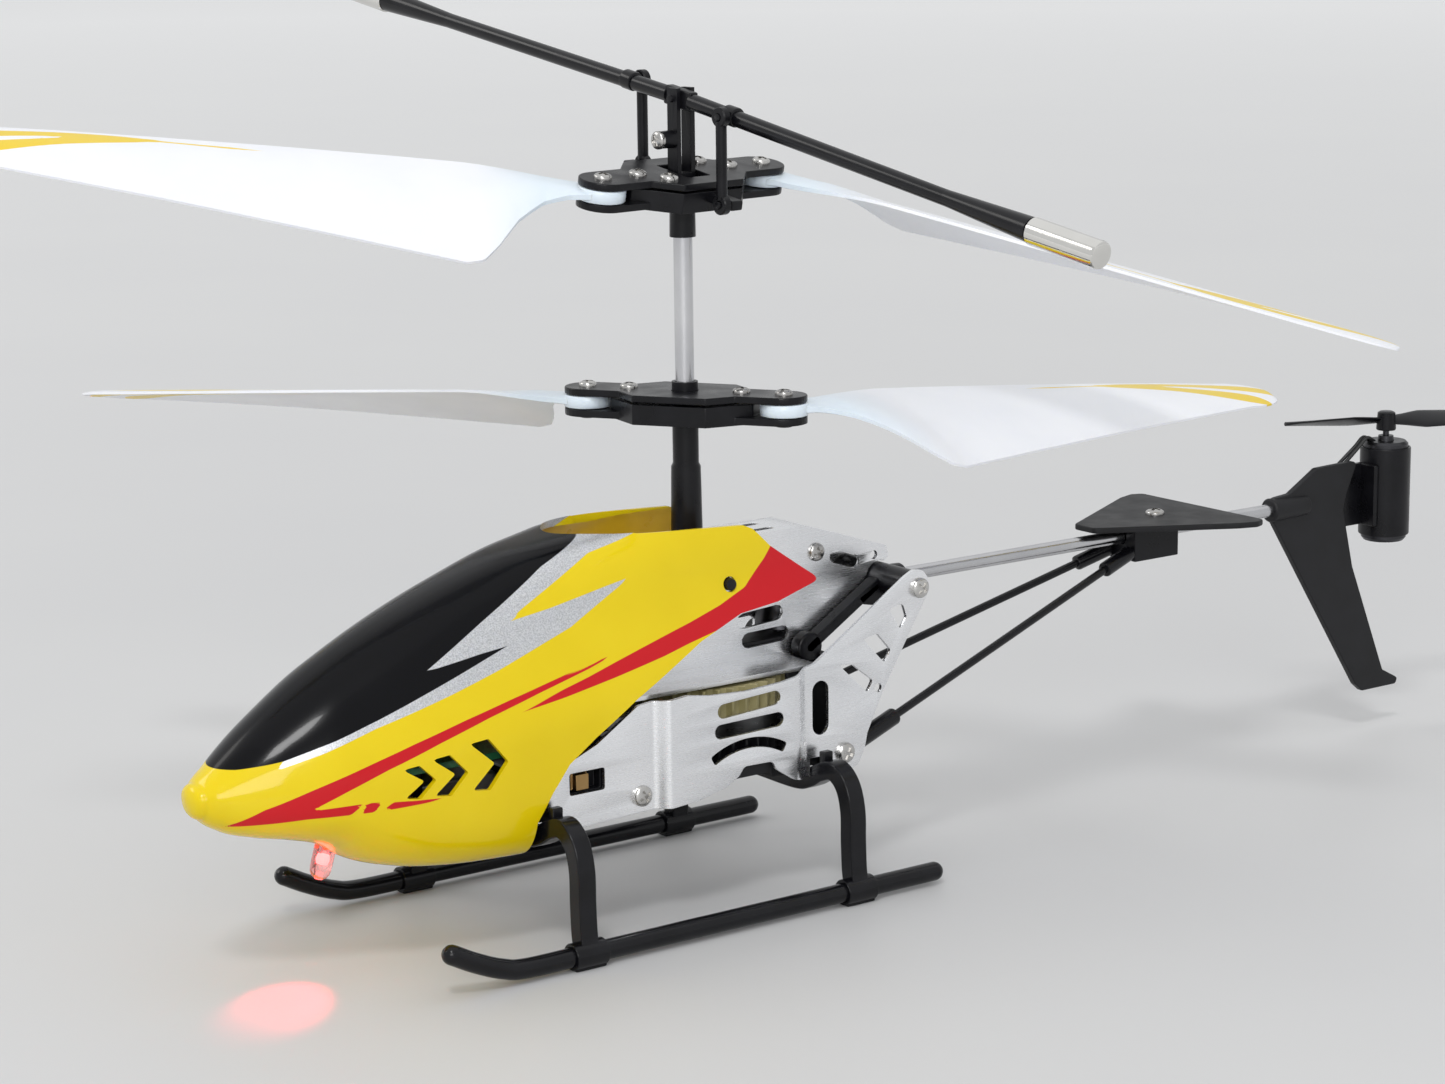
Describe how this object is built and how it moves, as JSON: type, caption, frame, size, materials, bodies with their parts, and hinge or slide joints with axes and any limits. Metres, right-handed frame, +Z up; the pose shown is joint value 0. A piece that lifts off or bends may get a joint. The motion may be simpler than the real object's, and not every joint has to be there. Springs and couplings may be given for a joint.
{
  "type": "remote control helicopter",
  "caption": "Small twin-rotor toy helicopter with a weighted flybar, folded-metal frame, thin painted canopy, landing skids and a tail propeller",
  "frame": {"origin": "middle of the footprint of the whole model at the level the skid soles stand on", "axes": "+X towards the nose, +Y to the port side, +Z up along the rotor shafts"},
  "size_m": [0.249, 0.1704, 0.1248],
  "materials": {
    "black_plastic": "satin moulded black",
    "frame_metal": "pressed sheet, satin",
    "steel": "drawn and polished steel",
    "canopy_shell": "thin vacuum-formed yellow shell with black, silver and red film",
    "blade_plastic": "thin translucent white moulding",
    "gear_plastic": "olive translucent nylon",
    "lamp_resin": "clear lamp resin",
    "circuit_board": "lacquered green board",
    "battery_wrap": "silver film over a soft cell",
    "switch_brass": "worn warm metal knob"
  },
  "bodies": {
    "airframe": {"skid_port": "black_plastic", "skid_starboard": "black_plastic", "front_strut": "black_plastic", "rear_strut": "black_plastic", "side_plate_port": "frame_metal", "side_plate_starboard": "frame_metal", "upper_frame": "frame_metal", "chassis": "black_plastic", "rear_bracket": "black_plastic", "motor_mount": "black_plastic", "motor_front": "steel", "motor_rear": "steel", "tail_boom": "steel", "tail_clamp": "black_plastic", "horizontal_fin": "black_plastic", "fin_screw": "steel", "vertical_fin": "black_plastic", "tail_motor_holder": "black_plastic", "tail_motor": "steel", "support_rod_port": "black_plastic", "support_rod_starboard": "black_plastic", "canopy": "canopy_shell", "canopy_peg_port": "black_plastic", "canopy_peg_starboard": "black_plastic", "nose_led": "lamp_resin", "battery_tray": "black_plastic", "battery": "battery_wrap", "circuit_board": "circuit_board", "power_switch_body": "black_plastic", "front_screw_port": "steel", "front_screw_starboard": "steel", "top_screw_port": "steel", "top_screw_starboard": "steel"},
    "upper_mast": {"inner_shaft": "steel", "lower_main_gear": "black_plastic", "rotor_head": "black_plastic", "head_screw": "steel"},
    "lower_rotor": {"outer_shaft": "black_plastic", "upper_main_gear": "gear_plastic", "lower_hub_base": "black_plastic", "lower_hub_cover": "black_plastic", "lower_pivot_screw_a": "steel", "lower_pivot_screw_b": "steel"},
    "front_pinion": {"pinion_front": "steel"},
    "rear_pinion": {"pinion_rear": "steel"},
    "stabiliser": {"flybar": "black_plastic", "flybar_weight_port": "steel", "flybar_weight_starboard": "steel"},
    "upper_hub": {"upper_hub_base": "black_plastic", "upper_hub_cover": "black_plastic", "upper_pivot_screw_a": "steel", "upper_pivot_screw_b": "steel"},
    "port_link": {"link_port": "black_plastic"},
    "starboard_link": {"link_starboard": "black_plastic"},
    "upper_blade_first": {"upper_blade_a": "blade_plastic"},
    "upper_blade_second": {"upper_blade_b": "blade_plastic"},
    "lower_blade_first": {"lower_blade_a": "blade_plastic"},
    "lower_blade_second": {"lower_blade_b": "blade_plastic"},
    "tail_propeller": {"tail_rotor": "black_plastic"},
    "switch_slider": {"power_switch_slider": "switch_brass"}
  },
  "joints": [
    {"name": "upper_rotor_spin", "type": "hinge", "parent": "airframe", "child": "upper_mast", "pos_m": [0.02956, 0.00969, 0.06], "axis": [0, 0, 1], "continuous": true},
    {"name": "lower_rotor_spin", "type": "hinge", "parent": "airframe", "child": "lower_rotor", "pos_m": [0.02956, 0.00969, 0.06], "axis": [0, 0, 1], "continuous": true},
    {"name": "pinion_front_spin", "type": "hinge", "parent": "airframe", "child": "front_pinion", "pos_m": [0.04516, 0.00969, 0.0222], "axis": [0, 0, 1], "continuous": true},
    {"name": "pinion_rear_spin", "type": "hinge", "parent": "airframe", "child": "rear_pinion", "pos_m": [0.01396, 0.00969, 0.0287], "axis": [0, 0, 1], "continuous": true},
    {"name": "flybar_tilt", "type": "hinge", "parent": "upper_mast", "child": "stabiliser", "pos_m": [0.02956, 0.00969, 0.11], "axis": [0.9945, 0.1045, 0], "range_deg": [-1.8, 22.8]},
    {"name": "upper_hub_tilt", "type": "hinge", "parent": "upper_mast", "child": "upper_hub", "pos_m": [0.02956, 0.00969, 0.0984], "axis": [0.9945, 0.1045, 0], "range_deg": [-1.8, 22.8]},
    {"name": "port_link_pivot", "type": "hinge", "parent": "stabiliser", "child": "port_link", "pos_m": [0.02849, 0.01986, 0.10811], "axis": [0.9945, 0.1045, 0], "range_deg": [-22.8, 1.8]},
    {"name": "starboard_link_pivot", "type": "hinge", "parent": "stabiliser", "child": "starboard_link", "pos_m": [0.03063, -0.00048, 0.11189], "axis": [0.9945, 0.1045, 0], "range_deg": [-22.8, 1.8]},
    {"name": "upper_blade_a_swing", "type": "hinge", "parent": "upper_hub", "child": "upper_blade_first", "pos_m": [0.04378, 0.01119, 0.0984], "axis": [-0.019, 0.1812, 0.9833], "range_deg": [-26, 94]},
    {"name": "upper_blade_b_swing", "type": "hinge", "parent": "upper_hub", "child": "upper_blade_second", "pos_m": [0.01534, 0.0082, 0.0984], "axis": [-0.019, 0.1812, 0.9833], "range_deg": [-5, 115]},
    {"name": "lower_blade_a_swing", "type": "hinge", "parent": "lower_rotor", "child": "lower_blade_first", "pos_m": [0.02157, 0.02155, 0.0683], "axis": [0, 0, 1], "range_deg": [-116, 4]},
    {"name": "lower_blade_b_swing", "type": "hinge", "parent": "lower_rotor", "child": "lower_blade_second", "pos_m": [0.03756, -0.00216, 0.0683], "axis": [0, 0, 1], "range_deg": [-50.5, 69.5]},
    {"name": "tail_rotor_spin", "type": "hinge", "parent": "airframe", "child": "tail_propeller", "pos_m": [-0.10894, 0.00969, 0.0506], "axis": [0, 0, 1], "continuous": true},
    {"name": "power_switch_slide", "type": "slide", "parent": "airframe", "child": "switch_slider", "axis": [-1, 0, 0], "range_m": [0, 0.0018]}
  ],
  "couplings": [
    {"joint": "pinion_front_spin", "follows": "upper_rotor_spin", "ratio": -5},
    {"joint": "pinion_rear_spin", "follows": "lower_rotor_spin", "ratio": -5},
    {"joint": "upper_hub_tilt", "follows": "flybar_tilt", "ratio": 1},
    {"joint": "port_link_pivot", "follows": "flybar_tilt", "ratio": -1},
    {"joint": "starboard_link_pivot", "follows": "flybar_tilt", "ratio": -1}
  ]
}
